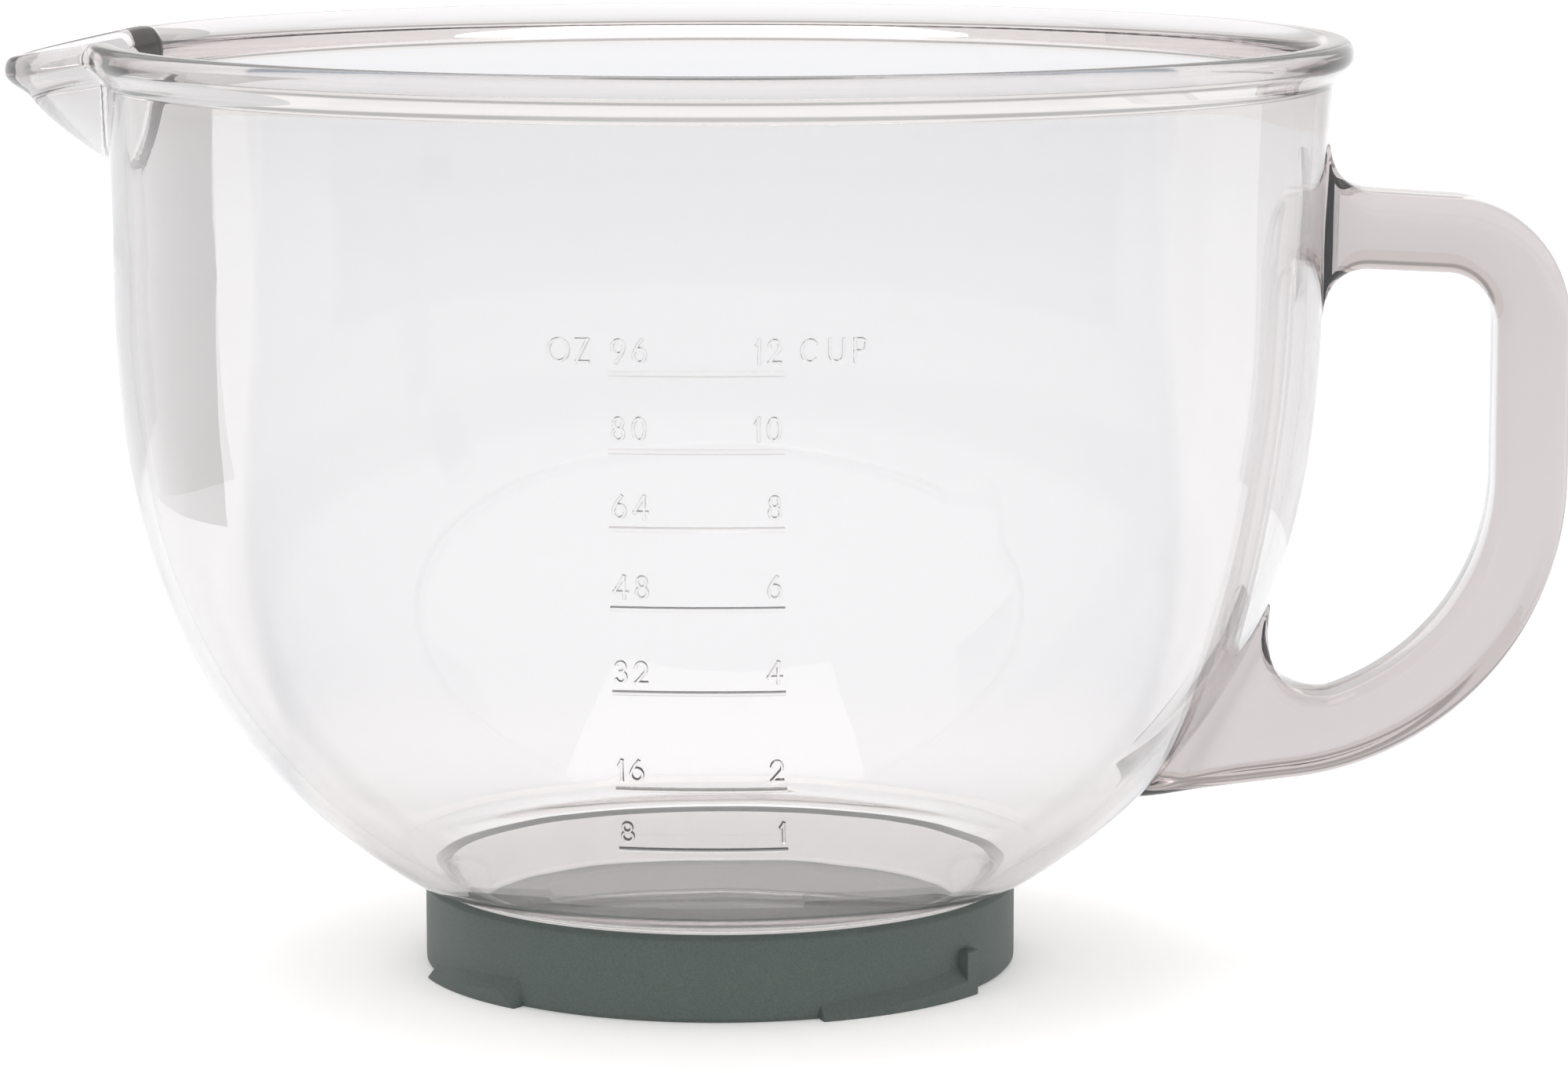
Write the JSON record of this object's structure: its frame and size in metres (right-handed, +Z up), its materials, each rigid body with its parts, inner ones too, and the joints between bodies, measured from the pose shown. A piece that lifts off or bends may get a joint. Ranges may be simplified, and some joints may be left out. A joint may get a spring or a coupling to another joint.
{
  "type": "mixing bowl",
  "caption": "Round clear glass mixing bowl with a rolled rim, pouring spout and D-shaped glass handle, on a grey-green plastic bayonet base ring for a stand mixer.",
  "frame": {"origin": "on the bowl's axis, on the plane the base stands on, at the underside of the anti-slip disc", "axes": "+Z up along the bowl's axis, +X from the axis towards the handle, -X towards the pouring spout"},
  "size_m": [0.2872, 0.2318, 0.1723],
  "materials": {
    "bowl_glass": "clear, fire-polished, smooth",
    "handle_glass": "clear pressed glass, slightly wavy",
    "green_plastic": "satin moulded, fine grain",
    "pale_silicone": "matte translucent white silicone",
    "grey_silicone": "matte silicone, fine texture",
    "steel": "plain zinc-free stainless"
  },
  "bodies": {
    "root": {"glass_bowl": "bowl_glass", "handle": "handle_glass", "base_collar": "green_plastic", "base_plate": "green_plastic", "seat_ring": "pale_silicone", "anti_slip_disc": "grey_silicone", "base_screw_1": "steel", "base_screw_2": "steel", "base_screw_3": "steel", "base_screw_4": "steel", "base_screw_5": "steel", "base_screw_6": "steel"}
  },
  "joints": []
}
